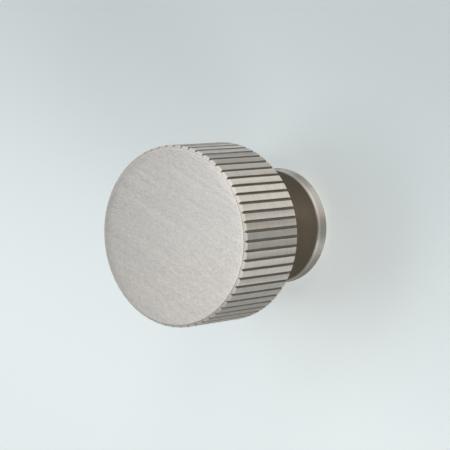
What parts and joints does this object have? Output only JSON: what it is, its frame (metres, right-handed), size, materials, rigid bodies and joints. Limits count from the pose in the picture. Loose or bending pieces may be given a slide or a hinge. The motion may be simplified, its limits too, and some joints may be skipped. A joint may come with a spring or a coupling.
{
  "type": "knurled knob",
  "caption": "Round cabinet knob with a straight-knurled head, a plain neck and a round foot with a threaded screw hole.",
  "frame": {"origin": "centre of the foot's mounting face", "axes": "+Z along the knob's axis, from the mounting face towards the flat end of the head"},
  "size_m": [0.03, 0.03, 0.03],
  "materials": {
    "satin_nickel": "brushed satin nickel"
  },
  "bodies": {
    "root": {"knob": "satin_nickel"}
  },
  "joints": []
}
